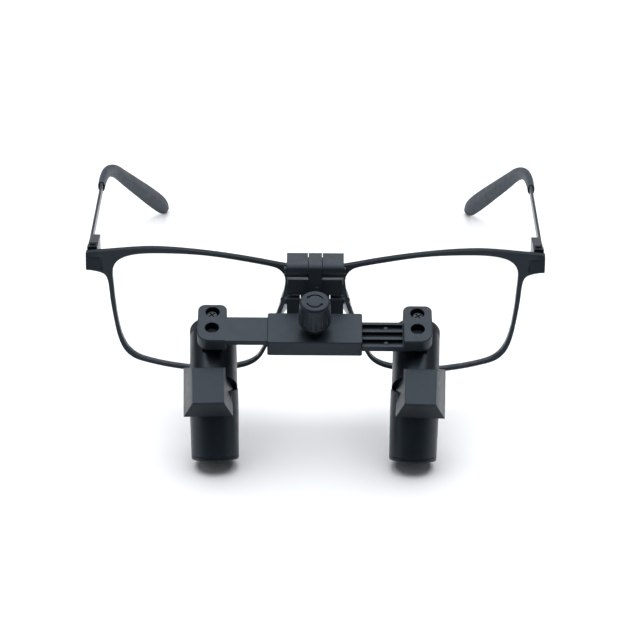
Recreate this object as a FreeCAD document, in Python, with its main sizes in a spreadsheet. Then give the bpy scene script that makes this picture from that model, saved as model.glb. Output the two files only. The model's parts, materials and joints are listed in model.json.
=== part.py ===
import FreeCAD, Part
import math
import os
import re
import Sketcher
from FreeCAD import Placement, Rotation, Vector

# Flip-up prism loupes on a spectacle frame.  Millimetres, +Z up, +Y towards the
# wearer's ears, X across the face.  The model is laid out in a "glasses" frame
# whose origin is midway between the two temple hinges, and is then leaned
# forward so that it stands on the objective rims and the temple tips.
V = Vector
X, Y, Z = V(1, 0, 0), V(0, 1, 0), V(0, 0, 1)
os.makedirs("parts", exist_ok=True)
doc = FreeCAD.newDocument("dental_loupes")

# ------------------------------------------------------------------ dimensions
DIMS = [
    # spectacle front
    ("panto_deg", 8.0), ("front_back", 14.5), ("wrap_rad", 400.0),
    ("rim_thick", 2.0), ("end_x", 71.5), ("end_inner", 66.4),
    ("end_top", -0.8), ("end_bottom", -6.3), ("end_front", -8.3), ("end_rear", -3.3),
    ("lens_thick", 1.2), ("lens_inset", 0.4), ("lens_gap", 0.06),
    # temple hinge
    ("hinge_x", 69.75), ("hinge_y", -1.6), ("lug_rad", 1.55), ("lug_top", 0.3),
    ("lug_bottom", -5.8), ("knuckle_top", -1.25), ("knuckle_bottom", -4.25),
    ("hinge_screw_rad", 0.6), ("root_wide", 3.0), ("root_long", 9.3),
    ("strip_thick", 0.8), ("strip_high", 3.0),
    # flip hinge: axis F1, and tilt hinge: axis F2, in the sagittal plane
    ("flip_y", -25.2), ("flip_z", -0.86), ("flip_rad", 2.45), ("flip_wide", 17.4),
    ("flip_slot", 4.5), ("strap_wide", 4.1), ("flip_pin_rad", 0.75), ("pin_play", 0.05),
    ("tilt_y", -26.8), ("tilt_z", -10.1), ("tilt_rad", 1.75), ("tilt_wide", 17.2),
    ("tilt_mid", 8.8), ("tilt_gap", 0.2), ("tilt_pin_rad", 0.7), ("link_wide", 16.6),
    # slide housing
    ("bar_deg", 28.0), ("box_y", -34.9), ("box_z", -16.2), ("box_long", 28.8),
    ("box_wide", 12.7), ("box_deep", 4.7), ("cover_thick", 0.78), ("top_wall", 0.7),
    ("end_wall", 1.0), ("cavity_wide", 10.6), ("collar_rad", 3.2), ("collar_high", 3.05),
    ("shaft_rad", 1.25), ("shaft_hole", 1.31),
    # pinion and racks
    ("gear_module", 0.4), ("gear_teeth", 14), ("pressure_deg", 25.0), ("backlash", 0.07),
    # knob
    ("knob_z", 3.2), ("knob_high", 8.3), ("knob_base", 4.95), ("knob_top", 4.62),
    ("knob_bevel", 0.5), ("knob_ribs", 17), ("rib_cut", 0.42),
    # arms
    ("arm_in", 9.2), ("arm_join", 27.2), ("upper_half", 5.0), ("lower_half", 5.2),
    ("upper_top", -0.7), ("upper_thick", 1.8), ("lower_top", -2.75), ("lower_thick", 1.9),
    ("groove_wide", 2.13), ("groove_deep", 1.1),
    ("plate_in", 26.9), ("plate_out", 35.7), ("plate_low", -5.0), ("plate_high", 10.5),
    ("plate_top", -0.7), ("plate_bottom", -4.65), ("hole_x", 31.25), ("lock_y", 7.1),
    ("pivot_y", 0.5), ("bore_wide", 2.2), ("pivot_rad", 1.2), ("lock_hole", 1.45),
    ("lock_rad", 1.0), ("lock_head", 1.78),
    # barrels
    ("barrel_x", 31.1), ("converge_deg", 2.2), ("eye_deg", 36.0), ("eye_y", -18.5),
    ("eye_z", -22.1), ("eye_rad", 7.2), ("eye_bore", 6.2), ("eye_long", 22.0),
    ("cup_long", 3.2), ("cup_bore", 5.6),
    ("obj_deg", -11.83), ("obj_y", -38.25), ("obj_z", -42.6), ("obj_top", 7.45),
    ("obj_end", 7.25), ("obj_bore", 6.0), ("obj_long", 12.75), ("ring_long", 1.2),
    ("house_out", 9.2), ("house_in", 5.7), ("face_out", 6.3), ("face_in", 3.1), ("taper_deep", 7.06),
    ("cover_deep", 0.7), ("saddle_wide", 6.4),
]
sheet = doc.addObject("Spreadsheet::Sheet", "Dims")
for i, (name, value) in enumerate(DIMS, start=1):
    sheet.set("A%d" % i, name)
    sheet.set("B%d" % i, str(value))
    sheet.setAlias("B%d" % i, name)
doc.recompute()
NAMES = sorted((n for n, _ in DIMS), key=len, reverse=True)
WORD = re.compile(r"\b(" + "|".join(NAMES) + r")\b")


def q(name):
    """A driving dimension, read from the sheet."""
    return float(sheet.get(name))


def bound(obj, prop, value):
    """Sets a property, bound to the sheet when the value is an expression."""
    if isinstance(value, str):
        obj.setExpression(prop, WORD.sub(r"Dims.\1", value))
    else:
        setattr(obj, prop, value)


def place(obj, pos, rot):
    base = [0.0 if isinstance(c, str) else float(c) for c in pos]
    obj.Placement = Placement(V(*base), rot)
    for axis, c in zip("xyz", pos):
        if isinstance(c, str):
            obj.setExpression("Placement.Base." + axis, WORD.sub(r"Dims.\1", c))


R0 = Rotation()
NODES = []          # (object, placement in the glasses frame)


def at(y, z, deg, x=0.0):
    return Placement(V(x, y, z), Rotation(X, deg))


def body(label, frame):
    b = doc.addObject("PartDesign::Body", label)
    b.Label = label
    NODES.append((b, frame))
    return b


def feat(b, kind, pos=(0, 0, 0), rot=R0, **dims):
    f = b.newObject("PartDesign::" + kind, kind)
    for prop, value in dims.items():
        bound(f, prop, value)
    place(f, pos, rot)
    return f


def plane(b, role):
    for o in b.Origin.OriginFeatures:
        if o.Role == role:
            return o


def sketch(b, role, loops, offset=None):
    sk = b.newObject("Sketcher::SketchObject", "Sketch")
    sk.AttachmentSupport = [(plane(b, role), "")]
    sk.MapMode = "FlatFace"
    if offset is not None:
        sk.AttachmentOffset = Placement(V(0, 0, offset), R0)
    for pts in loops:
        n = len(pts)
        for i in range(n):
            a, c = pts[i], pts[(i + 1) % n]
            sk.addGeometry(Part.LineSegment(V(a[0], a[1], 0), V(c[0], c[1], 0)), False)
    return sk


def pad(b, role, pts, length, mid=True, offset=None, reverse=False):
    sk = sketch(b, role, [pts], offset)
    p = b.newObject("PartDesign::Pad", "Pad")
    p.Profile = sk
    bound(p, "Length", length)
    if mid:
        p.SideType = "Symmetric" if hasattr(p, "SideType") else p.SideType
    p.Reversed = reverse
    return p


def pocket(b, role, loops, length, mid=True, offset=None, reverse=False):
    sk = sketch(b, role, loops, offset)
    p = b.newObject("PartDesign::Pocket", "Pocket")
    p.Profile = sk
    bound(p, "Length", length)
    if mid:
        p.SideType = "Symmetric"
    p.Reversed = reverse
    return p


def dress(b, kind, value, pick, prop):
    """Fillet or chamfer on the edges of the body's tip that pick() accepts."""
    doc.recompute()
    tip = b.Tip
    names = ["Edge%d" % (i + 1) for i, e in enumerate(tip.Shape.Edges) if pick(e)]
    assert names, b.Label + ": no edge for " + kind
    f = b.newObject("PartDesign::" + kind, kind)
    f.Base = (tip, names)
    bound(f, prop, value)
    doc.recompute()
    return f


def mid(e):
    return e.valueAt((e.FirstParameter + e.LastParameter) / 2)


def straight(e, d):
    if e.Curve.TypeId != "Part::GeomLine":
        return False
    t = e.tangentAt(e.FirstParameter)
    return abs(abs(t.dot(d)) - 1) < 1e-4


def round_at(e, radius, axis, level, tol=0.02):
    """A circular edge of the given radius whose centre is at level along axis."""
    c = e.Curve
    return (c.TypeId == "Part::GeomCircle" and abs(c.Radius - radius) < tol
            and abs(c.Center.dot(axis) - level) < tol)


def feature(label, shape, frame):
    """A free-form piece that no primitive or sketch feature fits."""
    f = doc.addObject("Part::Feature", label)
    f.Label = label
    f.Shape = shape
    NODES.append((f, frame.multiply(shape.Placement)))
    return f


def prim(kind, pos=(0, 0, 0), rot=R0, **dims):
    o = doc.addObject("Part::" + kind, kind)
    for prop, value in dims.items():
        bound(o, prop, value)
    place(o, pos, rot)
    return o


def fuse(objs, label=None, kind="MultiFuse"):
    o = doc.addObject("Part::" + kind, label or "Fused")
    if kind == "Cut":
        o.Base, o.Tool = objs
    elif kind == "Compound":
        o.Links = objs
    else:
        o.Shapes = objs
    if label:
        o.Label = label
    return o


TO_Y = Rotation(X, 90)       # a cylinder's axis from +Z to -Y
TO_X = Rotation(Y, 90)       # from +Z to +X
GLASSES = Placement()
FRONT = at(-q("front_back"), 0, q("panto_deg"))
BAR = at(q("box_y"), q("box_z"), q("bar_deg"))


def spline(pts, closed=False, plane_y=0.0):
    c = Part.BSplineCurve()
    p = [V(a, plane_y, b) for a, b in pts]
    if closed:
        c.interpolate(Points=p, PeriodicFlag=True)
    else:
        c.interpolate(Points=p)
    return c.toShape()


# ------------------------------------------------------- spectacle front (left)
# Outline in the lens plane: x across, second value up the lens plane.
TOP = [(0, -3.35), (-8, -2.85), (-16.25, -1.40), (-25.7, 0.05), (-35.2, 1.03),
       (-45, 1.47), (-53, 1.18), (-60, 0.22), (-66.2, -0.81), (-71.5, -1.72)]
LOW = [(-71.5, -7.3), (-69.3, -7.62), (-67.2, -7.95), (-65.6, -8.75), (-64.75, -10.6),
       (-64.35, -14.0), (-63.93, -18.3), (-63.1, -24.1), (-62.2, -28.9), (-61.2, -32.1),
       (-59.6, -34.85), (-57.0, -36.9), (-53.4, -38.0), (-47.5, -39.1), (-42.0, -39.75),
       (-36.0, -40.1), (-30.0, -39.7), (-24.2, -38.6), (-20.2, -37.2), (-17.6, -35.2),
       (-15.6, -32.0), (-13.2, -26.0), (-10.6, -19.0), (-8.4, -12.6), (-6.6, -9.0),
       (-4.0, -7.15), (0, -6.65)]
OPEN = [(-62.6, -5.2), (-61.2, -3.35), (-58.3, -1.75), (-54, -0.70), (-47, -0.12), (-40, 0.02),
        (-31, -0.45), (-21.5, -1.75), (-14.6, -2.95), (-11.2, -4.15), (-9.55, -6.3),
        (-9.35, -9.3), (-10.1, -13.3), (-11.9, -19.0), (-14.3, -26.0), (-16.6, -31.8),
        (-18.4, -34.6), (-21.0, -36.35), (-25.0, -37.6), (-30.4, -38.65), (-36.0, -39.0),
        (-42.0, -38.65), (-47.6, -38.0), (-52.6, -37.05), (-56.0, -35.85), (-58.6, -33.6),
        (-60.1, -30.9), (-61.2, -27.4), (-62.1, -22.2), (-62.75, -16.0), (-63.1, -11.0)]


def mirror(pts):
    return [(-a, b) for a, b in reversed(pts)]


top_all = mirror(TOP)[:-1] + TOP            # right end to left end
low_all = LOW + mirror(LOW)[1:]             # left end to right end
Y0, DEPTH = -4.0, 20.0
outer = Part.Wire([
    spline(top_all, plane_y=Y0),
    Part.makeLine(V(TOP[-1][0], Y0, TOP[-1][1]), V(LOW[0][0], Y0, LOW[0][1])),
    spline(low_all, plane_y=Y0),
    Part.makeLine(V(-LOW[0][0], Y0, LOW[0][1]), V(-TOP[-1][0], Y0, TOP[-1][1])),
])
blank = Part.Face(outer).extrude(V(0, DEPTH, 0))


def inset(pts, d):
    """Closed outline moved inwards by d along its normals."""
    n, out = len(pts), []
    area = sum(pts[i][0] * pts[(i + 1) % n][1] - pts[(i + 1) % n][0] * pts[i][1] for i in range(n))
    sgn = 1.0 if area > 0 else -1.0
    for i in range(n):
        a, b = pts[i - 1], pts[(i + 1) % n]
        tx, tz = b[0] - a[0], b[1] - a[1]
        m = math.hypot(tx, tz)
        out.append((pts[i][0] - sgn * tz / m * d, pts[i][1] + sgn * tx / m * d))
    return out


def lens_blank(pts):
    return Part.Face(Part.Wire([spline(pts, closed=True, plane_y=Y0)])).extrude(V(0, DEPTH, 0))


def shell(front, thick):
    r = q("wrap_rad")
    big = Part.makeCylinder(r - front, 70, V(0, r, -55))
    return big.cut(Part.makeCylinder(r - front - thick, 70, V(0, r, -55)))


def in_front(shape):
    """Glasses-frame shape moved into the lens plane's frame."""
    s = shape.copy()
    s.Placement = FRONT.inverse().multiply(s.Placement)
    return s


rim = blank.common(shell(0.0, q("rim_thick")))
for side in (-1, 1):
    pts = OPEN if side < 0 else [(-a, b) for a, b in OPEN]
    rim = rim.cut(lens_blank(pts))
extra = []
for side in (-1, 1):
    x0 = -q("end_x") if side < 0 else q("end_inner")
    block = Part.makeBox(q("end_x") - q("end_inner"), q("end_rear") - q("end_front"),
                         q("end_top") - q("end_bottom"), V(x0, q("end_front"), q("end_bottom")))
    block = block.makeFillet(0.5, [e for e in block.Edges if straight(e, Y) and abs(mid(e).x) > 70])
    lx = side * q("hinge_x")
    lug = Part.makeBox(2 * q("lug_rad"), 3.2, q("lug_top") - q("lug_bottom"),
                       V(lx - q("lug_rad"), q("hinge_y") - 3.2, q("lug_bottom")))
    lug = lug.fuse(Part.makeCylinder(q("lug_rad"), q("lug_top") - q("lug_bottom"),
                                     V(lx, q("hinge_y"), q("lug_bottom"))))
    gap = Part.makeBox(6, 6, q("knuckle_top") - q("knuckle_bottom"),
                       V(lx - 3, q("hinge_y") - q("lug_rad") - 0.25, q("knuckle_bottom")))
    bore = Part.makeCylinder(q("hinge_screw_rad") + 0.02, 12, V(lx, q("hinge_y"), -9))
    both = block.fuse(lug).cut(gap).cut(bore)
    extra.append(in_front(both))
    # nose pad arm, from the nasal rim back to the pad
    arm = Part.makeCylinder(0.55, 4.6, V(side * 10.3, -12.2, -14.2), V(side * -0.28, 0.92, 0.1))
    extra.append(in_front(arm))
rim = rim.fuse(extra).removeSplitter()
# the pads: slim ovals leaning outwards towards the cheeks
pads = []
for side in (-1, 1):
    pad_shape = Part.makeSphere(1.0)
    m = FreeCAD.Matrix()
    m.scale(1.35, 3.0, 6.2)
    pad_shape = pad_shape.transformGeometry(m)
    pad_shape.Placement = Placement(V(side * 9.0, -8.0, -14.6), Rotation(Y, side * -16).multiply(Rotation(Z, side * 24)))
    local = in_front(pad_shape)
    rim = rim.cut(local)
    pads.append(local)
# screw holes through the bridge, and a narrow joint line round each end piece
for sx in (-5.4, 5.4):
    rim = rim.cut(Part.makeCylinder(0.72, 8, V(sx, -2, -5.0), V(0, 1, 0)))
for side in (-1, 1):
    line = Part.makeBox(0.18, 0.5, 4.0, V(side * 66.6 - 0.09, 5.35, -7.0))
    rim = rim.cut(line)
    line = Part.makeBox(5.4, 0.35, 0.14, V(-72.4 if side < 0 else 67.0, 5.55, -3.1))
    rim = rim.cut(line)
rim = max(rim.Solids, key=lambda s: s.Volume)
feature("frame_front", rim, FRONT)
feature("nose_pad_left", pads[0], FRONT)
feature("nose_pad_right", pads[1], FRONT)
for label, side in (("lens_left", -1), ("lens_right", 1)):
    pts = inset(OPEN, q("lens_gap"))
    if side > 0:
        pts = [(-a, b) for a, b in pts]
    feature(label, lens_blank(pts).common(shell(q("lens_inset"), q("lens_thick"))), FRONT)

# ------------------------------------------------------------ temples and tips
PATH = [(-72.25, 64, 1.6), (-72.35, 72, 2.0), (-72.0, 80, 2.1), (-71.1, 87, 1.3), (-69.5, 93.5, -0.8),
        (-67.0, 101.5, -5.2), (-63.4, 110.7, -10.8), (-59.8, 119.6, -16.3), (-56.4, 127.4, -21.3),
        (-54.8, 130.9, -23.5), (-54.1, 132.4, -24.45)]
HALF = [(1.2, 1.9), (1.3, 2.0), (1.4, 2.05), (1.45, 2.1), (1.5, 2.35), (1.6, 2.7), (1.7, 3.05),
        (1.75, 3.35), (1.65, 3.25), (1.2, 2.4), (0.55, 1.1)]


def tip_shape(side):
    wires = []
    path = [V(-side * x, y, z) for x, y, z in PATH]
    for i, (p, (a, b)) in enumerate(zip(path, HALF)):
        t = (path[min(i + 1, len(path) - 1)] - path[max(i - 1, 0)]).normalize()
        w = t.cross(Z).normalize()           # across the tip
        u = w.cross(t).normalize()           # up the tip
        el = Part.Ellipse(p + u * b, p + w * a, p)
        f, e = el.FirstParameter, el.LastParameter
        wires.append(Part.Wire([Part.Edge(el, f, (f + e) / 2), Part.Edge(el, (f + e) / 2, e)]))
    return Part.makeLoft(wires, True, False)


for label, side in (("left", -1), ("right", 1)):
    # spring-steel strip from the hinge knuckle back into the tip
    a, c = V(side * 71.0, 3.0, -2.1), V(side * 72.3, 74.0, 2.1)
    d = c - a
    rot = Rotation(Y, d)
    strip_pl = Placement(a, rot)

    def strip(grow, extra_long=0.0):
        b = Part.makeBox(q("strip_thick") + 2 * grow, d.Length + extra_long, q("strip_high") + 2 * grow,
                         V(-q("strip_thick") / 2 - grow, 0, -q("strip_high") / 2 - grow))
        b.Placement = strip_pl
        return b

    b = body("temple_" + label, GLASSES)
    hx, hy = side * q("hinge_x"), q("hinge_y")
    sx = "-hinge_x" if side < 0 else "hinge_x"
    feat(b, "AdditiveCylinder", (sx, "hinge_y", "knuckle_bottom+0.05"),
         Radius="lug_rad-0.05", Height="knuckle_top-knuckle_bottom-0.1")
    feat(b, "AdditiveBox", (sx + "-root_wide/2", "hinge_y", "knuckle_bottom+0.05"),
         Length="root_wide", Width=2.6, Height="knuckle_top-knuckle_bottom-0.1")
    feat(b, "AdditiveBox", (sx + "-root_wide/2", "hinge_y+lug_rad+0.25", "lug_bottom+0.2"),
         Length="root_wide", Width="root_long", Height="lug_top-lug_bottom-0.2")
    feat(b, "SubtractiveCylinder", (sx, "hinge_y", -8), Radius="hinge_screw_rad+pin_play", Height=10)
    feat(b, "AdditiveBox", (a.x, a.y, a.z), rot, Length="strip_thick", Width=d.Length, Height="strip_high")
    doc.recompute()
    f = b.Tip
    f.Placement = Placement(a + rot.multVec(V(-q("strip_thick") / 2, 0, -q("strip_high") / 2)), rot)
    dress(b, "Fillet", 0.45, lambda e: straight(e, Z) and abs(mid(e).y - (hy + q("lug_rad") + 0.25 + q("root_long"))) < 0.05, "Radius")
    feature("temple_tip_" + label, tip_shape(side).cut(strip(0.03, 0.05)), GLASSES)
    # hinge screw: slotted head on top of the lug
    b = body("hinge_screw_" + label, GLASSES)
    feat(b, "AdditiveCylinder", (sx, "hinge_y", "lug_bottom"), Radius="hinge_screw_rad", Height="lug_top-lug_bottom")
    feat(b, "AdditiveCylinder", (sx, "hinge_y", "lug_top"), Radius=1.05, Height=0.45)
    feat(b, "SubtractiveBox", (sx + "-1.5", "hinge_y-0.15", "lug_top+0.2"), Length=3, Width=0.3, Height=1)

# --------------------------------------------------------- bridge bracket (F1)
F1 = ("flip_y", "flip_z")
b = body("bridge_bracket", GLASSES)
feat(b, "AdditiveCylinder", ("-flip_wide/2", "flip_y", "flip_z"), TO_X, Radius="flip_rad", Height="flip_wide")
pad(b, "YZ_Plane", [(-26.04, 1.44), (-20.78, 3.36), (-19.5, 2.85), (-16.6, 0.2), (-14.56, 0.2),
                    (-13.45, -7.72), (-16.2, -8.1), (-18.75, -5.4), (-24.35, -3.15), (-25.2, -0.86)], "flip_wide")
feat(b, "SubtractiveBox", ("-flip_slot/2", -30, -9), Length="flip_slot", Width=30 - 18.75, Height=16)
feat(b, "SubtractiveBox", ("-flip_slot/2", -19, 0.2), Length="flip_slot", Width=6, Height=6)
feat(b, "SubtractiveCylinder", (-12, "flip_y", "flip_z"), TO_X, Radius="flip_pin_rad+0.01", Height=24)
doc.recompute()
screw_rot = Rotation(X, q("panto_deg")).multiply(Rotation(X, 90))
for sx in (-5.4, 5.4):
    p = FRONT.multVec(V(sx, 1.0, -5.0))
    feat(b, "SubtractiveCylinder", (p.x, p.y, p.z), screw_rot, Radius=0.72, Height=4.1)
dress(b, "Fillet", 0.35, lambda e: straight(e, X) and (abs(mid(e).y + 20.78) < 0.05 or abs(mid(e).y + 19.5) < 0.05), "Radius")

screws = []
for sx in (-5.4, 5.4):
    p = FRONT.multVec(V(sx, q("rim_thick") + 0.05, -5.0))
    screws.append(prim("Cylinder", (p.x, p.y, p.z), screw_rot, Radius=0.68, Height=5.0))
    back = Rotation(X, q("panto_deg")).multiply(Rotation(X, -90))
    head = prim("Cone", (p.x, p.y, p.z), back, Radius1=1.25, Radius2=0.95, Height=0.6)
    slot = prim("Box", (0, 0, 0), R0, Length=0.3, Width=2.6, Height=0.5)
    o = Placement(p, back).multVec(V(-0.15, -1.3, 0.35))
    place(slot, (o.x, o.y, o.z), back)
    screws[-1] = fuse([screws[-1], fuse([head, slot], kind="Cut")])
g = fuse(screws, "bracket_screws", "Compound")
NODES.append((g, GLASSES))

b = body("flip_pin", GLASSES)
feat(b, "AdditiveCylinder", ("-flip_wide/2-0.35", "flip_y", "flip_z"), TO_X, Radius="flip_pin_rad", Height="flip_wide+0.7")
feat(b, "AdditiveCylinder", ("-flip_wide/2-0.8", "flip_y", "flip_z"), TO_X, Radius="flip_pin_rad+0.45", Height=0.75)
feat(b, "AdditiveCylinder", ("flip_wide/2+0.05", "flip_y", "flip_z"), TO_X, Radius="flip_pin_rad+0.3", Height=0.5)

# ------------------------------------------------------------------ flip link
b = body("flip_link", GLASSES)
feat(b, "AdditiveCylinder", ("-strap_wide/2", "flip_y", "flip_z"), TO_X, Radius="flip_rad", Height="strap_wide")
pad(b, "YZ_Plane", [(-26.04, 1.44), (-20.78, 3.36), (-20.4, 2.2), (-23.6, -2.6), (-25.2, -0.86)], "strap_wide")
pad(b, "YZ_Plane", [(-27.6, -1.0), (-25.8, -2.4), (-26.65, -3.5), (-27.15, -7.75), (-26.8, -10.1),
                    (-28.5, -10.0), (-29.0, -7.4), (-28.5, -3.4)], "strap_wide")
pad(b, "YZ_Plane", [(-27.95, -3.5), (-26.65, -3.5), (-27.2, -7.75), (-28.5, -7.75)], "link_wide")
feat(b, "AdditiveCylinder", ("-tilt_mid/2", "tilt_y", "tilt_z"), TO_X, Radius="tilt_rad", Height="tilt_mid")
pad(b, "YZ_Plane", [(-28.5, -7.7), (-27.2, -7.7), (-25.5, -9.1), (-26.8, -10.1), (-28.5, -9.9)], "tilt_mid")
feat(b, "SubtractiveCylinder", (-12, "flip_y", "flip_z"), TO_X, Radius="flip_pin_rad+pin_play", Height=24)
feat(b, "SubtractiveCylinder", (-12, "tilt_y", "tilt_z"), TO_X, Radius="tilt_pin_rad+pin_play", Height=24)
feat(b, "SubtractiveCylinder", (0.6, -26, -5.45), TO_Y, Radius=0.6, Height=6)

b = body("link_screw", GLASSES)
feat(b, "AdditiveCylinder", (0.6, -26.75, -5.45), TO_Y, Radius=0.57, Height=1.7)
feat(b, "SubtractiveBox", (-1, -28.6, -5.6), Length=3.2, Width=0.4, Height=0.3)

# -------------------------------------------------------------- slide housing
b = body("slide_housing", BAR)
feat(b, "AdditiveBox", ("-box_long/2", "-box_wide/2", "-box_deep"), Length="box_long", Width="box_wide", Height="box_deep")
dress(b, "Fillet", 0.7, lambda e: straight(e, Z), "Radius")
dress(b, "Fillet", 0.35, lambda e: abs(mid(e).z) < 1e-6, "Radius")
feat(b, "AdditiveCylinder", (0, 0, -0.3), Radius="collar_rad", Height="collar_high+0.3")
feat(b, "AdditiveCylinder", ("-tilt_wide/2", 10, 1.6), TO_X, Radius="tilt_rad", Height="tilt_wide")
pad(b, "YZ_Plane", [(6.0, -3.3), (6.0, -0.1), (8.85, 2.9), (10.0, 1.6), (11.2, 0.35), (9.0, -1.3), (7.2, -3.3)], "tilt_wide")
feat(b, "SubtractiveCylinder", ("-tilt_mid/2-tilt_gap", 10, 1.6), TO_X, Radius="tilt_rad+0.3", Height="tilt_mid+2*tilt_gap")
feat(b, "SubtractiveBox", ("-tilt_mid/2-tilt_gap", 7.95, 1.6), Length="tilt_mid+2*tilt_gap", Width=6, Height=6)
feat(b, "SubtractiveBox", ("-box_long/2+end_wall", "-cavity_wide/2", "-box_deep-1"),
     Length="box_long-2*end_wall", Width="cavity_wide", Height="box_deep+1-top_wall+0.1")
feat(b, "SubtractiveBox", ("-box_long/2-1", "-upper_half-0.1", "upper_top-upper_thick-0.1"),
     Length=3, Width="2*upper_half+0.2", Height="upper_thick+0.2")
feat(b, "SubtractiveBox", ("box_long/2-2", "-lower_half-0.1", "-box_deep-1"),
     Length=3, Width="2*lower_half+0.2", Height="box_deep+1+lower_top+0.1")
feat(b, "SubtractiveCylinder", (0, 0, -2), Radius="shaft_hole", Height=8)
feat(b, "SubtractiveCylinder", (-12, 10, 1.6), TO_X, Radius="tilt_pin_rad+0.01", Height=24)

b = body("housing_cover", BAR)
feat(b, "AdditiveBox", ("-box_long/2", "-box_wide/2", "-box_deep-cover_thick-0.02"), Length="box_long", Width="box_wide", Height="cover_thick")
dress(b, "Fillet", 0.7, lambda e: straight(e, Z), "Radius")

b = body("tilt_pin", BAR)
feat(b, "AdditiveCylinder", ("-tilt_wide/2-0.3", 10, 1.6), TO_X, Radius="tilt_pin_rad", Height="tilt_wide+0.6")
feat(b, "AdditiveCylinder", ("-tilt_wide/2-0.65", 10, 1.6), TO_X, Radius="tilt_pin_rad+0.4", Height=0.6)
feat(b, "AdditiveCylinder", ("tilt_wide/2+0.05", 10, 1.6), TO_X, Radius="tilt_pin_rad+0.25", Height=0.4)

# ------------------------------------------------------------ pinion and knob
mod, teeth, pr = q("gear_module"), int(q("gear_teeth")), math.radians(q("pressure_deg"))
pitch_r = mod * teeth / 2
base_r = pitch_r * math.cos(pr)
tip_r, root_r = pitch_r + 0.9 * mod, pitch_r - 1.25 * mod
inv = lambda a: math.tan(a) - a


def tooth_half(r):
    """Half the angle that a tooth covers at radius r."""
    a = math.acos(min(1.0, base_r / max(r, base_r)))
    return math.pi / (2 * teeth) - q("backlash") / (4 * pitch_r) + inv(pr) - inv(a)


gear = []
for k in range(teeth):
    c = math.pi / 2 + (k + 0.5) * 2 * math.pi / teeth     # a gap faces each rack
    radii = [root_r, base_r, 2.65, 2.8, 2.95, 3.06, tip_r]
    for r in radii:
        w = tooth_half(r)
        gear.append((r * math.cos(c - w), r * math.sin(c - w)))
    for r in reversed(radii):
        w = tooth_half(r)
        gear.append((r * math.cos(c + w), r * math.sin(c + w)))
b = body("pinion_shaft", BAR)
pad(b, "XY_Plane", gear, 3.7, mid=False, offset=-4.55)
feat(b, "AdditiveCylinder", (0, 0, -4.6), Radius="shaft_rad", Height="4.6+knob_z+knob_high-3")
feat(b, "AdditiveCylinder", (0, 0, "knob_z+knob_high-3-0.01"), Radius=0.6, Height=1.2)


def rack_window(x0, x1, clear, sign):
    """Window in a bar with rack teeth along one edge; sign is +1 for the +Y edge."""
    p, t = math.pi * mod, math.tan(pr)
    add, ded = 0.9 * mod, 1.3 * mod
    half = p / 4 - q("backlash") / 4
    pts = [(x0, -clear * sign), (x1, -clear * sign)]
    edge = []
    n = int(max(abs(x0), abs(x1)) / p) + 2
    for k in range(-n, n + 1):
        c = k * p
        row = [(c - half - ded * t, pitch_r + ded), (c - half + add * t, pitch_r - add),
               (c + half - add * t, pitch_r - add), (c + half + ded * t, pitch_r + ded)]
        if row[0][0] > x0 + 0.1 and row[3][0] < x1 - 0.1:
            edge += row
    edge = [(x0, pitch_r + ded)] + edge + [(x1, pitch_r + ded)]
    pts += [(a, c * sign) for a, c in reversed(edge)]
    return pts


b = body("knob", BAR)
feat(b, "AdditiveCone", (0, 0, "knob_z"), Radius1="knob_base", Radius2="knob_top", Height="knob_high")
dress(b, "Chamfer", "knob_bevel", lambda e: round_at(e, q("knob_top"), Z, q("knob_z") + q("knob_high")), "Size")
cut = feat(b, "SubtractiveCylinder", ("knob_base+0.12", 0, "knob_z+0.7"), Radius="rib_cut", Height="knob_high")
doc.recompute()
pat = b.newObject("PartDesign::PolarPattern", "Ribs")
pat.Originals = [cut]
pat.Axis = ([o for o in b.Origin.OriginFeatures if o.Role == "Z_Axis"][0], [""])
pat.Angle = 360
bound(pat, "Occurrences", "knob_ribs")
b.Tip = pat
doc.recompute()
feat(b, "SubtractiveCylinder", (0, 0, "knob_z-0.1"), Radius="shaft_rad+0.01", Height="knob_high-3+0.11")
feat(b, "SubtractiveCylinder", (0, 0, "knob_z+1"), Radius=0.62, Height="knob_high-2.1")


def turn_arrow(start, sweep, r, w, head):
    """A plain curved arrow: the sign for turning."""
    n, pts = 14, []
    for i in range(n + 1):
        a = math.radians(start + sweep * i / n)
        pts.append(((r + w / 2) * math.cos(a), (r + w / 2) * math.sin(a)))
    a = math.radians(start + sweep)
    s = math.radians(head) * (1 if sweep > 0 else -1)
    pts.append(((r + 0.75) * math.cos(a), (r + 0.75) * math.sin(a)))
    pts.append((r * math.cos(a + s), r * math.sin(a + s)))
    pts.append(((r - 0.75) * math.cos(a), (r - 0.75) * math.sin(a)))
    for i in range(n, -1, -1):
        a = math.radians(start + sweep * i / n)
        pts.append(((r - w / 2) * math.cos(a), (r - w / 2) * math.sin(a)))
    return pts


top_face = q("knob_z") + q("knob_high")
pocket(b, "XY_Plane", [turn_arrow(200, 115, 2.55, 0.5, 26), turn_arrow(20, 115, 2.55, 0.5, 26)],
       0.4, mid=False, offset=top_face)

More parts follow.
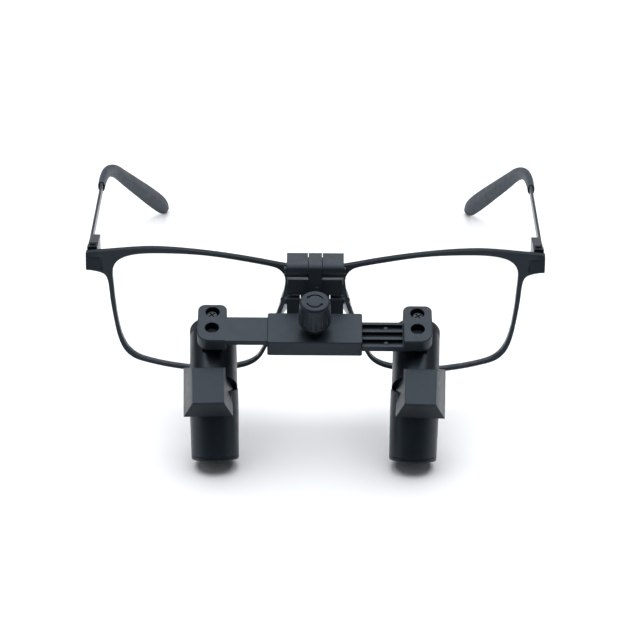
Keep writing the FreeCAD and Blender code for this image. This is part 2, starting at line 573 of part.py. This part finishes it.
# ----------------------------------------------------------------------- arms
for label, side in (("left", -1), ("right", 1)):
    b = body("arm_" + label, BAR)
    half, top, thick = (("upper_half", "upper_top", "upper_thick") if side < 0
                        else ("lower_half", "lower_top", "lower_thick"))
    x0 = "-arm_join" if side < 0 else "-arm_in"
    px = "-plate_out" if side < 0 else "plate_in"
    feat(b, "AdditiveBox", (px, "plate_low", "plate_bottom"), Length="plate_out-plate_in",
         Width="plate_high-plate_low", Height="plate_top-plate_bottom")
    dress(b, "Fillet", 3.8, lambda e: straight(e, Z) and abs(mid(e).x) > 30 and mid(e).y < 0, "Radius")
    dress(b, "Fillet", 2.2, lambda e: straight(e, Z) and mid(e).y > 10, "Radius")
    dress(b, "Fillet", 0.45, lambda e: abs(mid(e).z - q("plate_top")) < 1e-6, "Radius")
    feat(b, "AdditiveBox", (x0, "-" + half, top + "-" + thick), Length="arm_join+arm_in", Width="2*" + half, Height=thick)
    a0, a1 = (-7.4, 8.3) if side < 0 else (-8.3, 7.4)
    pocket(b, "XY_Plane", [rack_window(a0, a1, 3.35, 1 if side < 0 else -1)], 12)
    if side > 0:
        for gy in (3.13, 0.0, -3.13):
            feat(b, "SubtractiveBox", (10.0, "%g-groove_wide/2" % gy, "lower_top-groove_deep"),
                 Length="plate_in-10.2", Width="groove_wide", Height=2)
        for gy in (3.13, -3.13):
            feat(b, "AdditiveCylinder", (21.6, gy, "lower_top-groove_deep-0.2"), Radius=0.6, Height=0.9)
    hx = ("-" if side < 0 else "") + "hole_x"
    feat(b, "SubtractiveCylinder", (hx, "lock_y", -3.15), Radius="bore_wide", Height=5)
    feat(b, "SubtractiveCylinder", (hx, "lock_y", -6), Radius="lock_hole", Height=5)
    feat(b, "SubtractiveCylinder", (hx, "pivot_y", -3.3), Radius="bore_wide", Height=5)
    feat(b, "SubtractiveCylinder", (hx, "pivot_y", -6), Radius="pivot_rad+pin_play", Height=5)

# -------------------------------------------------------------------- barrels
P = [(-39.6, -27.6), (-50.1, -35.2), (-46.0, -40.95), (-30.5, -44.2), (-30.5, -40.1), (-31.5, -30.16)]
PRISM = [(-41.9, -31.35), (-48.2, -35.8), (-45.2, -39.85), (-36.5, -41.6), (-37.6, -36.6)]
CAVITY = [(-41.9, -31.0), (-48.6, -35.75), (-45.4, -40.2), (-36.1, -42.1), (-37.2, -36.4)]
face_dir = V(0, P[1][0] - P[0][0], P[1][1] - P[0][1])
face_len = face_dir.Length
face_deg = math.degrees(math.atan2(-face_dir.z, -face_dir.y))     # slope of the pad face
for label, side in (("left", -1), ("right", 1)):
    # the barrel turns about its pivot pin, which is square to the arm's plate
    pivot = BAR.multiply(Placement(V(side * q("hole_x"), q("pivot_y"), 0), R0))
    turn = pivot.multiply(Placement(V(), Rotation(Z, -side * q("converge_deg")))).multiply(pivot.inverse())
    base = turn.multiply(Placement(V(side * q("barrel_x"), 0, 0), R0))
    EYE = base.multiply(at(q("eye_y"), q("eye_z"), q("eye_deg")))
    OBJ = base.multiply(at(q("obj_y"), q("obj_z"), q("obj_deg")))
    PLATE = turn.multiply(BAR).multiply(Placement(V(side * q("hole_x"), 0, 0), R0))
    eye_in_plate = PLATE.inverse().multiply(EYE)
    dx = side * (q("house_out") - q("house_in")) / 2

    b = body("saddle_" + label, PLATE)
    feat(b, "AdditiveBox", ("-saddle_wide/2", -2.2, -9.4), Length="saddle_wide", Width=12.2, Height=9.4 - 4.75)
    c = eye_in_plate.multiply(Placement(V(0, 5, 0), TO_Y))
    feat(b, "SubtractiveCylinder", (c.Base.x, c.Base.y, c.Base.z), c.Rotation, Radius="eye_rad+0.02", Height=40)
    feat(b, "SubtractiveCylinder", (0, "pivot_y", -6.32), Radius="pivot_rad+0.01", Height=4)
    feat(b, "SubtractiveCylinder", (0, "lock_y", -6.22), Radius="lock_rad+0.01", Height=4)

    b = body("pivot_pin_" + label, PLATE)
    feat(b, "AdditiveCylinder", (0, "pivot_y", -6.3), Radius="pivot_rad", Height=3.2)
    dress(b, "Chamfer", 0.2, lambda e: round_at(e, q("pivot_rad"), Z, -3.1), "Size")

    b = body("lock_screw_" + label, PLATE)
    feat(b, "AdditiveCylinder", (0, "lock_y", -5.95), Radius="lock_rad", Height=3.05)
    feat(b, "AdditiveCylinder", (0, "lock_y", -3.0), Radius="lock_head", Height=1.1)
    dress(b, "Fillet", 0.35, lambda e: round_at(e, q("lock_head"), Z, -1.9), "Radius")
    for k in (0, 90):
        r = Rotation(Z, k + 35)
        o = r.multVec(V(-1.15, -0.2, 0))
        feat(b, "SubtractiveBox", (o.x, q("lock_y") + o.y, -2.5), r, Length=2.3, Width=0.4, Height=1)

    b = body("eyepiece_tube_" + label, EYE)
    feat(b, "AdditiveCylinder", (0, "-cup_long", 0), TO_Y, Radius="eye_rad", Height="eye_long-cup_long")
    # blind bore: the front end is a field stop with a smaller hole
    feat(b, "SubtractiveCylinder", (0, 1, 0), TO_Y, Radius="eye_bore", Height="eye_long+1-0.9")
    feat(b, "SubtractiveCylinder", (0, 1, 0), TO_Y, Radius=3.6, Height=40)

    b = body("eyecup_" + label, EYE)
    feat(b, "AdditiveCylinder", (0, 0, 0), TO_Y, Radius="eye_rad", Height="cup_long-0.02")
    feat(b, "SubtractiveCylinder", (0, 1, 0), TO_Y, Radius="cup_bore", Height=10)
    dress(b, "Fillet", 0.7, lambda e: round_at(e, q("eye_rad"), Y, 0.0), "Radius")
    dress(b, "Fillet", 0.5, lambda e: round_at(e, q("cup_bore"), Y, 0.0), "Radius")

    # plano-convex eye lens, convex towards the prism
    cyl = prim("Cylinder", (0, "-cup_long-0.1", 0), TO_Y, Radius="eye_bore-0.02", Height=3.0)
    ball = prim("Sphere", (0, "-cup_long-3.0+20", 0), R0, Radius=20)
    o = fuse([cyl, ball], "eyepiece_lens_" + label, "MultiCommon")
    NODES.append((o, EYE))

    b = body("prism_housing_" + label, base)
    pad(b, "YZ_Plane", P, "house_out+house_in", offset=dx)
    # both side walls draw in towards the long sloping face
    fr = Placement(V(0, P[0][0], P[0][1]), Rotation(X, face_deg))
    for wall, near, far in ((side, q("face_out"), q("house_out")), (-side, q("face_in"), q("house_in"))):
        draw = math.degrees(math.atan2(far - near, q("taper_deep")))
        r = Rotation(Y, -wall * draw)
        lx = 0.0 if wall > 0 else -12.0
        c = fr.multiply(Placement(V(wall * near, -face_len - 12, 0), r)).multiply(Placement(V(lx, 0, -14), R0))
        feat(b, "SubtractiveBox", (c.Base.x, c.Base.y, c.Base.z), c.Rotation, Length=12, Width=40, Height=20)
    o_in = base.inverse().multiply(OBJ)
    c = o_in.multiply(Placement(V(0, 0, 0), R0))
    feat(b, "AdditiveCylinder", (c.Base.x, c.Base.y, c.Base.z), c.Rotation, Radius="obj_top", Height=7.3)
    e_in = base.inverse().multiply(EYE).multiply(Placement(V(0, 5, 0), TO_Y))
    feat(b, "SubtractiveCylinder", (e_in.Base.x, e_in.Base.y, e_in.Base.z), e_in.Rotation,
         Radius="eye_rad+0.02", Height="eye_long+5+0.02")
    pocket(b, "YZ_Plane", [CAVITY], 8.0, offset=side * 1.6)
    c = o_in.multiply(Placement(V(0, 0, -1), R0))
    feat(b, "SubtractiveCylinder", (c.Base.x, c.Base.y, c.Base.z), c.Rotation, Radius=5.4, Height=2.6)
    # the top of the housing is a separate cover, glued on once the prism is in
    c = fr.multiply(Placement(V(-12, -face_len - 4, -q("cover_deep")), R0))
    feat(b, "SubtractiveBox", (c.Base.x, c.Base.y, c.Base.z), c.Rotation, Length=24, Width=face_len + 10, Height=6)

    b = body("prism_cover_" + label, base.multiply(fr))
    t = q("cover_deep") - 0.02
    go = (q("house_out") - q("face_out")) / q("taper_deep") * t
    gi = (q("house_in") - q("face_in")) / q("taper_deep") * t
    prof = [(side * q("face_out"), 0), (side * (q("face_out") + go), -t),
            (-side * (q("face_in") + gi), -t), (-side * q("face_in"), 0)]
    pad(b, "XZ_Plane", prof, face_len, mid=False)

    b = body("prism_" + label, base)
    pad(b, "YZ_Plane", PRISM, 7.7, offset=side * 1.6)

    b = body("objective_tube_" + label, OBJ)
    feat(b, "AdditiveCone", (0, 0, "-obj_long"), Radius1="obj_end", Radius2="obj_top", Height="obj_long-0.02")
    feat(b, "SubtractiveCylinder", (0, 0, -30), Radius="obj_bore", Height=40)

    b = body("objective_ring_" + label, OBJ)
    feat(b, "AdditiveCylinder", (0, 0, "-obj_long-ring_long-0.05"), Radius="obj_end", Height="ring_long")
    feat(b, "SubtractiveCylinder", (0, 0, -30), Radius="obj_bore-0.3", Height=40)
    dress(b, "Fillet", 0.35, lambda e: round_at(e, q("obj_end"), Z, -q("obj_long") - q("ring_long") - 0.05), "Radius")

    # plano-convex objective lens just above its retaining ring
    cyl = prim("Cylinder", (0, 0, "-obj_long+0.05"), R0, Radius="obj_bore-0.02", Height=3.2)
    ball = prim("Sphere", (0, 0, "-obj_long+0.4+22"), R0, Radius=22)
    o = fuse([cyl, ball], "objective_lens_" + label, "MultiCommon")
    NODES.append((o, OBJ))

doc.recompute()

# --------------------------------------------------------------------- stance
# Leaned forward until the objective rims and the temple tips reach the floor
# together; the origin is at the middle of the outline, on the floor.


def lowest(labels, lean):
    low = 1e9
    for o, frame in NODES:
        if o.Label in labels:
            s = o.Shape.copy()
            s.Placement = lean.multiply(frame)
            low = min(low, s.optimalBoundingBox(False).ZMin)
    return low


front, rear, a0, a1 = ["objective_ring_left"], ["temple_tip_left"], 5.0, 20.0
for _ in range(22):
    am = (a0 + a1) / 2
    lean = Placement(V(), Rotation(X, -am))
    if lowest(rear, lean) > lowest(front, lean):
        a0 = am
    else:
        a1 = am
lean = Placement(V(), Rotation(X, -a0))
z0 = min(lowest(front, lean), lowest(rear, lean))
box = None
for o, frame in NODES:
    s = o.Shape.copy()
    s.Placement = lean.multiply(frame)
    bb = s.optimalBoundingBox(False)
    if box is None:
        box = FreeCAD.BoundBox(bb.XMin, bb.YMin, bb.ZMin, bb.XMax, bb.YMax, bb.ZMax)
    else:
        box.add(bb)
STAND = Placement(V(-(box.XMin + box.XMax) / 2, -(box.YMin + box.YMax) / 2, -box.ZMin), Rotation(X, -a0))
print("lean %.4f deg, box %.2f x %.2f x %.2f" % (a0, box.XLength, box.YLength, box.ZLength))
print("STAND", list(STAND.Base), "front/rear low", lowest(front, lean), lowest(rear, lean))
for o, frame in NODES:
    o.Placement = STAND.multiply(frame)
doc.recompute()


def world(p, frame=GLASSES):
    w = STAND.multiply(frame).multVec(V(*p))
    return [round(c / 1000, 6) for c in (w.x, w.y, w.z)]


def world_dir(d, frame=GLASSES):
    w = STAND.multiply(frame).Rotation.multVec(V(*d))
    return [round(c, 8) for c in (w.x, w.y, w.z)]


print("FLIP", world((0, q("flip_y"), q("flip_z"))))
print("TILT", world((0, q("tilt_y"), q("tilt_z"))))
print("HINGE_L", world((-q("hinge_x"), q("hinge_y"), 0)), world_dir((0, 0, 1)))
print("HINGE_R", world((q("hinge_x"), q("hinge_y"), 0)))
print("KNOB", world((0, 0, 0), BAR), world_dir((0, 0, 1), BAR))
print("PIVOT_L", world((-q("hole_x"), q("pivot_y"), 0), BAR))
print("PIVOT_R", world((q("hole_x"), q("pivot_y"), 0), BAR))
for tag, side in (("L", -1), ("R", 1)):
    frames = {o.Label: f for o, f in NODES}
    name = "left" if side < 0 else "right"
    print("EYE_" + tag, world((0, -1.8, 0), frames["eyecup_" + name]), world_dir((0, 1, 0), frames["eyecup_" + name]))
    print("OBJ_" + tag, world((0, 0, -q("obj_long") - 0.6), frames["objective_ring_" + name]),
          world_dir((0, 0, -1), frames["objective_ring_" + name]))
print("FRONTDIR", world_dir((0, 0, 1), FRONT), world_dir((0, 1, 0), FRONT))

# --------------------------------------------------------------------- export
bad = [o.Label for o in doc.Objects if "Invalid" in o.State or "Error" in o.State]
assert not bad, bad
labels = set()
for o, frame in NODES:
    s = o.Shape
    assert not s.isNull() and s.isValid() and s.Volume > 0 and s.Solids, o.Label
    assert o.Label not in labels, o.Label
    labels.add(o.Label)
    s.exportStep("parts/%s.step" % o.Label)
    print("%-24s %9.2f mm3  solids %d" % (o.Label, s.Volume, len(s.Solids)))
print(len(labels), "nodes")
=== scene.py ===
import json
import math

import bmesh
import bpy
from mathutils import Matrix, Vector


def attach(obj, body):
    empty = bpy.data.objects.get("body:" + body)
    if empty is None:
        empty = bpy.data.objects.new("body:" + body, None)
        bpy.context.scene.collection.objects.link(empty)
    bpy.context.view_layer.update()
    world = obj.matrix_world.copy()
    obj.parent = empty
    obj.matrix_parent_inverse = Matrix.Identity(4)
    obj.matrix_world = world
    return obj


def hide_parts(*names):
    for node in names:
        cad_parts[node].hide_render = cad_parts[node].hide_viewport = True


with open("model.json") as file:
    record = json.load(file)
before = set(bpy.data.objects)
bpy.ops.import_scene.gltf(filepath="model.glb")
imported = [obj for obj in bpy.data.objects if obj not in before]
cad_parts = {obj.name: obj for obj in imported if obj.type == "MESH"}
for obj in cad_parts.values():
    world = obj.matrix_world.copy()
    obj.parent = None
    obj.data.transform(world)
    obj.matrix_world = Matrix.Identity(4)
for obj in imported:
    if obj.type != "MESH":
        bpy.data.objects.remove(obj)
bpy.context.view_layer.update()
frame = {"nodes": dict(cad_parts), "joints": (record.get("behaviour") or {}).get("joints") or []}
NODE = frame["nodes"]
JOINT = {j["name"]: j for j in frame["joints"]}
scene = bpy.context.scene


# ------------------------------------------------------------- frames of reference
# The glasses' own frame: x across, y back, z up, millimetres, origin midway
# between the temple hinges. It is found again from the temple hinge joints.
hinge = JOINT["temple_fold_right"]
ax = Vector(hinge["axis"]).normalized()
LEAN = math.atan2(ax.y, ax.z)
ROT = Matrix.Rotation(-LEAN, 3, "X")
HINGE_X = hinge["pos_m"][0] * 1000
HINGE_Y = -1.6
ORIGIN = Vector(hinge["pos_m"]) - ROT @ (Vector((HINGE_X, HINGE_Y, 0)) * 0.001)


def G(x, y, z):
    """A point of the glasses' frame, in millimetres, as a scene point in metres."""
    return ORIGIN + ROT @ (Vector((x, y, z)) * 0.001)


# ------------------------------------------------------------------- materials
def new_mat(name):
    m = bpy.data.materials.new(name)
    m.use_nodes = True
    nt = m.node_tree
    return m, nt, nt.nodes["Principled BSDF"]


def link(nt, a, b):
    nt.links.new(a, b)


def node(nt, kind, **props):
    n = nt.nodes.new(kind)
    for k, v in props.items():
        setattr(n, k, v)
    return n


def coords(nt, stretch=(1, 1, 1)):
    tc = node(nt, "ShaderNodeTexCoord")
    mp = node(nt, "ShaderNodeMapping")
    mp.inputs["Scale"].default_value = stretch
    link(nt, tc.outputs["Object"], mp.inputs["Vector"])
    return mp.outputs["Vector"]


def noise(nt, vec, scale, detail=2.0, rough=0.5):
    n = node(nt, "ShaderNodeTexNoise")
    n.inputs["Scale"].default_value = scale
    n.inputs["Detail"].default_value = detail
    n.inputs["Roughness"].default_value = rough
    link(nt, vec, n.inputs["Vector"])
    return n.outputs["Fac"]


def ramp(nt, fac, stops):
    r = node(nt, "ShaderNodeValToRGB")
    e = r.color_ramp.elements
    e[0].position, e[0].color = stops[0][0], (*stops[0][1], 1)
    e[1].position, e[1].color = stops[-1][0], (*stops[-1][1], 1)
    for p, c in stops[1:-1]:
        x = e.new(p)
        x.color = (*c, 1)
    link(nt, fac, r.inputs["Fac"])
    return r.outputs["Color"]


def span(nt, fac, lo, hi):
    m = node(nt, "ShaderNodeMapRange")
    m.inputs["From Min"].default_value = 0.3
    m.inputs["From Max"].default_value = 0.7
    m.inputs["To Min"].default_value = lo
    m.inputs["To Max"].default_value = hi
    link(nt, fac, m.inputs["Value"])
    return m.outputs["Result"]


def grey(c, k):
    return tuple(x * k for x in c)


def coated(name, base, rough=(0.38, 0.46), grain=3200, bump=0.12, stretch=(1, 1, 1),
           specular=0.5, coat=0.0, mottle=0.12, distance=0.00002):
    """Satin black finish: fine grain in the bump, slow drift in colour and gloss."""
    m, nt, bs = new_mat(name)
    vec = coords(nt, stretch)
    slow = noise(nt, vec, 90, 3)
    link(nt, ramp(nt, slow, [(0.3, grey(base, 1 - mottle)), (0.7, grey(base, 1 + mottle))]), bs.inputs["Base Color"])
    fine = noise(nt, vec, grain, 4, 0.6)
    patch = noise(nt, vec, 420, 3)
    link(nt, span(nt, patch, *rough), bs.inputs["Roughness"])
    b = node(nt, "ShaderNodeBump")
    b.inputs["Strength"].default_value = bump
    b.inputs["Distance"].default_value = distance
    link(nt, fine, b.inputs["Height"])
    link(nt, b.outputs["Normal"], bs.inputs["Normal"])
    bs.inputs["Specular IOR Level"].default_value = specular
    bs.inputs["Specular Tint"].default_value = (0.70, 0.85, 1.0, 1)
    bs.inputs["Coat Weight"].default_value = coat
    bs.inputs["Coat Roughness"].default_value = 0.25
    return m


def steel(name, base, rough=(0.22, 0.34), stretch=(1, 1, 1)):
    m, nt, bs = new_mat(name)
    vec = coords(nt, stretch)
    slow = noise(nt, vec, 700, 3)
    link(nt, ramp(nt, slow, [(0.3, grey(base, 0.9)), (0.7, base)]), bs.inputs["Base Color"])
    link(nt, span(nt, noise(nt, vec, 2500, 2), *rough), bs.inputs["Roughness"])
    bs.inputs["Metallic"].default_value = 1.0
    b = node(nt, "ShaderNodeBump")
    b.inputs["Strength"].default_value = 0.08
    b.inputs["Distance"].default_value = 0.00001
    link(nt, noise(nt, vec, 6000, 2), b.inputs["Height"])
    link(nt, b.outputs["Normal"], bs.inputs["Normal"])
    return m


def spectacle_glass():
    m, nt, bs = new_mat("spectacle_lens")
    vec = coords(nt)
    link(nt, ramp(nt, noise(nt, vec, 12, 2), [(0.3, (0.86, 0.985, 1.0)), (0.7, (0.9, 1.0, 1.0))]), bs.inputs["Base Color"])
    link(nt, span(nt, noise(nt, vec, 60, 2), 0.02, 0.05), bs.inputs["Roughness"])
    bs.inputs["Alpha"].default_value = 0.035
    bs.inputs["IOR"].default_value = 1.5
    return m


def optical_glass():
    m, nt, bs = new_mat("optical_glass")
    vec = coords(nt)
    link(nt, ramp(nt, noise(nt, vec, 60, 1), [(0.3, (0.9, 0.95, 1.0)), (0.7, (0.95, 0.98, 1.0))]), bs.inputs["Base Color"])
    link(nt, span(nt, noise(nt, vec, 300, 2), 0.005, 0.02), bs.inputs["Roughness"])
    bs.inputs["Transmission Weight"].default_value = 1.0
    bs.inputs["IOR"].default_value = 1.52
    bs.inputs["Thin Film Thickness"].default_value = 420.0
    bs.inputs["Thin Film IOR"].default_value = 1.38
    return m


BLACK = (0.0150, 0.0175, 0.0215)
M = {
    "frame": coated("frame_satin_black", (0.0062, 0.0085, 0.0115), (0.34, 0.42), 5200, 0.07, specular=0.34),
    "mech": coated("mechanism_black", (0.0085, 0.0115, 0.0155), (0.38, 0.48), 3600, 0.16, specular=0.32),
    "knob": coated("knob_black", (0.0075, 0.0105, 0.0145), (0.42, 0.52), 3000, 0.2, specular=0.30),
    "barrel": coated("barrel_black", (0.0055, 0.0078, 0.0108), (0.30, 0.38), 4200, 0.10, specular=0.32),
    "rubber": coated("tip_rubber", (0.0230, 0.0280, 0.0360), (0.50, 0.62), 2600, 0.22, specular=0.45),
    "cup": coated("eyecup_rubber", (0.0120, 0.0130, 0.0150), (0.62, 0.75), 2400, 0.3, specular=0.35),
    "silicone": coated("pad_silicone", (0.42, 0.43, 0.44), (0.3, 0.4), 1500, 0.05, mottle=0.04),
    "strip": coated("temple_steel_black", (0.030, 0.033, 0.038), (0.26, 0.36), 5200, 0.06, stretch=(1, 0.08, 1), specular=0.7),
    "steel": steel("bright_steel", (0.30, 0.31, 0.33), (0.30, 0.42)),
    "dark_steel": steel("dark_steel", (0.042, 0.048, 0.056), (0.38, 0.50)),
    "lens": spectacle_glass(),
    "optic": optical_glass(),
}

PICK = [
    ("frame_front", "frame"), ("lens_", "lens"), ("nose_pad", "silicone"), ("temple_tip", "rubber"),
    ("temple_", "strip"), ("hinge_screw", "dark_steel"), ("bridge_bracket", "mech"), ("bracket_screws", "dark_steel"),
    ("flip_pin", "dark_steel"), ("tilt_pin", "dark_steel"), ("flip_link", "mech"), ("link_screw", "steel"),
    ("slide_housing", "mech"), ("housing_cover", "mech"), ("knob", "knob"), ("pinion_shaft", "dark_steel"),
    ("arm_", "mech"), ("pivot_pin", "dark_steel"), ("lock_screw", "dark_steel"), ("eyecup", "cup"),
    ("eyepiece_lens", "optic"), ("objective_lens", "optic"), ("prism_left", "optic"), ("prism_right", "optic"),
    ("", "barrel"),
]


def finish_of(name):
    for start, key in PICK:
        if name.startswith(start):
            return key


# A small rounded edge on every machined or moulded piece, in metres.
EDGE = {
    "frame_front": 0.00022, "bridge_bracket": 0.00018, "flip_link": 0.00018, "slide_housing": 0.00012,
    "housing_cover": 0.00015, "knob": 0.00010, "arm_left": 0.00014, "arm_right": 0.00012,
    "temple_left": 0.00018, "temple_right": 0.00018,
}


def dress_cad(o):
    key = finish_of(o.name)
    o.data.materials.clear()
    o.data.materials.append(M[key])
    w = o.modifiers.new("weld", "WELD")
    w.merge_threshold = 2e-6
    width = EDGE.get(o.name, 0.00012)
    if key not in ("lens",):
        b = o.modifiers.new("bevel", "BEVEL")
        b.width = width
        b.segments = 2
        b.limit_method = "ANGLE"
        b.angle_limit = math.radians(35)
        b.use_clamp_overlap = True
    for p in o.data.polygons:
        p.use_smooth = True
    wn = o.modifiers.new("normals", "WEIGHTED_NORMAL")
    wn.keep_sharp = True
    wn.weight = 60


for name, o in NODE.items():
    dress_cad(o)


# ----------------------------------------------------------------- mesh helpers
def mesh_object(name, verts, faces, mat, body):
    me = bpy.data.meshes.new(name)
    me.from_pydata([tuple(v) for v in verts], [], faces)
    me.validate()
    bm = bmesh.new()
    bm.from_mesh(me)
    bmesh.ops.recalc_face_normals(bm, faces=bm.faces)
    bm.to_mesh(me)
    bm.free()
    o = bpy.data.objects.new(name, me)
    scene.collection.objects.link(o)
    me.materials.append(mat)
    for p in me.polygons:
        p.use_smooth = True
    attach(o, body)
    return o


def catmull(points, n):
    """n + 1 points on a smooth curve through the given tuples."""
    out = []
    m = len(points) - 1
    for i in range(n + 1):
        t = i / n * m
        k = min(int(t), m - 1)
        f = t - k
        p0 = points[max(k - 1, 0)]
        p1, p2 = points[k], points[k + 1]
        p3 = points[min(k + 2, m)]
        out.append(tuple(
            0.5 * ((2 * b) + (c - a) * f + (2 * a - 5 * b + 4 * c - d) * f * f + (-a + 3 * b - 3 * c + d) * f ** 3)
            for a, b, c, d in zip(p0, p1, p2, p3)))
    return out


# -------------------------------------------------------------- temple tips
TIP = [  # x, y, z, half thickness, half height
    (-72.25, 64, 1.6, 1.2, 1.9), (-72.35, 72, 2.0, 1.3, 2.0), (-72.0, 80, 2.1, 1.4, 2.05),
    (-71.1, 87, 1.3, 1.45, 2.1), (-69.5, 93.5, -0.8, 1.5, 2.35), (-67.0, 101.5, -5.2, 1.6, 2.7),
    (-63.4, 110.7, -10.8, 1.7, 3.05), (-59.8, 119.6, -16.3, 1.75, 3.35), (-56.4, 127.4, -21.3, 1.65, 3.25),
    (-54.8, 130.9, -23.5, 1.2, 2.4), (-54.1, 132.4, -24.45, 0.55, 1.1),
]


def tip(side, name, body, cad):
    st = catmull(TIP, 70)
    ring, verts, faces = 28, [], []
    rows = []
    for i, (x, y, z, a, b) in enumerate(st):
        p = Vector((-side * x, y, z))
        q0, q1 = st[max(i - 1, 0)], st[min(i + 1, len(st) - 1)]
        t = Vector((-side * (q1[0] - q0[0]), q1[1] - q0[1], q1[2] - q0[2])).normalized()
        w = t.cross(Vector((0, 0, 1))).normalized()
        u = w.cross(t).normalized()
        blade = min(1.0, max(0.0, (i - 22) / 22))       # flat paddle with a ridge along it
        row = []
        for k in range(ring):
            th = 2 * math.pi * k / ring
            c, s = math.cos(th), math.sin(th)
            round_w = math.copysign(abs(c) ** 0.92, c)
            hs = math.copysign(abs(s) ** 0.92, s)
            ridge = math.copysign(max(0.0, 1 - 0.80 * abs(hs) ** 1.12 - 0.20 * abs(hs) ** 8), c)
            ww = round_w * (1 - blade) + ridge * blade
            row.append(p + w * (a * ww) + u * (b * hs))
        rows.append(row)
    # open front end, with a dark socket round the strip
    p0 = Vector((-side * st[0][0], st[0][1], st[0][2]))
    d = (Vector((-side * st[1][0], st[1][1], st[1][2])) - p0).normalized()
    lip = [[p0 + (v - p0) * 0.86 - d * 0.12 for v in rows[0]], [p0 + (v - p0) * 0.66 - d * 0.02 for v in rows[0]],
           [p0 + (v - p0) * 0.62 + d * 1.6 for v in rows[0]]]
    rows = lip[::-1] + rows
    for row in rows:
        verts += [G(*v) for v in row]
    n = len(rows)
    for i in range(n - 1):
        for k in range(ring):
            a0, a1 = i * ring + k, i * ring + (k + 1) % ring
            faces.append((a0, a1, a1 + ring, a0 + ring))
    faces.append(tuple(range(ring)))
    end = st[-1]
    verts.append(G(-side * end[0], end[1] + 0.25, end[2] - 0.15))
    for k in range(ring):
        faces.append(((n - 1) * ring + k, (n - 1) * ring + (k + 1) % ring, len(verts) - 1))
    o = mesh_object(name, verts, faces, M["rubber"], body)
    sub = o.modifiers.new("sub", "SUBSURF")
    sub.levels = sub.render_levels = 1
    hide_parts(cad)
    return o


tip(-1, "moulded_tip_left", "temple_arm_left", "temple_tip_left")
tip(1, "moulded_tip_right", "temple_arm_right", "temple_tip_right")

# --------------------------------------------------------------- floor and light
floor_me = bpy.data.meshes.new("floor")
S = 6.0
floor_me.from_pydata([(-S, -S, 0), (S, -S, 0), (S, S, 0), (-S, S, 0)], [], [(0, 1, 2, 3)])
floor = bpy.data.objects.new("floor", floor_me)
scene.collection.objects.link(floor)
fm, fnt, fbs = new_mat("floor_white")
fbs.inputs["Roughness"].default_value = 0.9
fbs.inputs["Specular IOR Level"].default_value = 0.1
fvec = coords(fnt)
link(fnt, ramp(fnt, noise(fnt, fvec, 3, 2), [(0.3, (0.90, 0.905, 0.91)), (0.7, (0.92, 0.92, 0.925))]), fbs.inputs["Base Color"])
floor_me.materials.append(fm)


def area(name, loc, aim, size, power, colour=(1, 1, 1), size_y=None):
    li = bpy.data.lights.new(name, "AREA")
    li.shape = "RECTANGLE"
    li.size, li.size_y = size, size_y or size
    li.energy = power
    li.color = colour
    o = bpy.data.objects.new(name, li)
    o.location = loc
    o.rotation_euler = (Vector(aim) - Vector(loc)).to_track_quat("-Z", "Y").to_euler()
    scene.collection.objects.link(o)
    return o


area("overhead", (0.0, 0.45, 1.5), (0, -0.02, 0), 2.6, 62, (0.97, 0.985, 1.0))
area("left_panel", (-1.5, -0.1, 0.55), (0, 0, 0.03), 1.1, 3.5, (0.95, 0.975, 1.0))
area("right_panel", (1.5, 0.1, 0.5), (0, 0, 0.03), 1.0, 2.0, (0.95, 0.975, 1.0))

world = bpy.data.worlds.new("studio")
scene.world = world
world.use_nodes = True
wnt = world.node_tree
bg = wnt.nodes["Background"]
bg.inputs["Color"].default_value = (0.10, 0.106, 0.117, 1)
bg.inputs["Strength"].default_value = 1.0
scene.view_settings.view_transform = "Standard"

# ------------------------------------------------------------------------ camera
# The picture's own view: 17.5 degrees above the glasses' level, from 850 mm away.
cam_data = bpy.data.cameras.new("camera")
cam = bpy.data.objects.new("camera", cam_data)
scene.collection.objects.link(cam)
scene.camera = cam
PITCH = math.radians(17.5)
target = G(1.55, 0, -24.7)
look = ROT @ Vector((0, math.cos(PITCH), -math.sin(PITCH)))
cam.location = target - look * 0.850
q = look.to_track_quat("-Z", "Y")
roll = Matrix.Rotation(math.radians(-0.39), 4, look)
cam.matrix_world = Matrix.Translation(cam.location) @ (roll.to_3x3() @ q.to_matrix()).to_4x4()
cam_data.sensor_width = 36.0
cam_data.lens = 2685.0 / 640.0 * 36.0
cam_data.clip_start = 0.02
cam_data.clip_end = 30
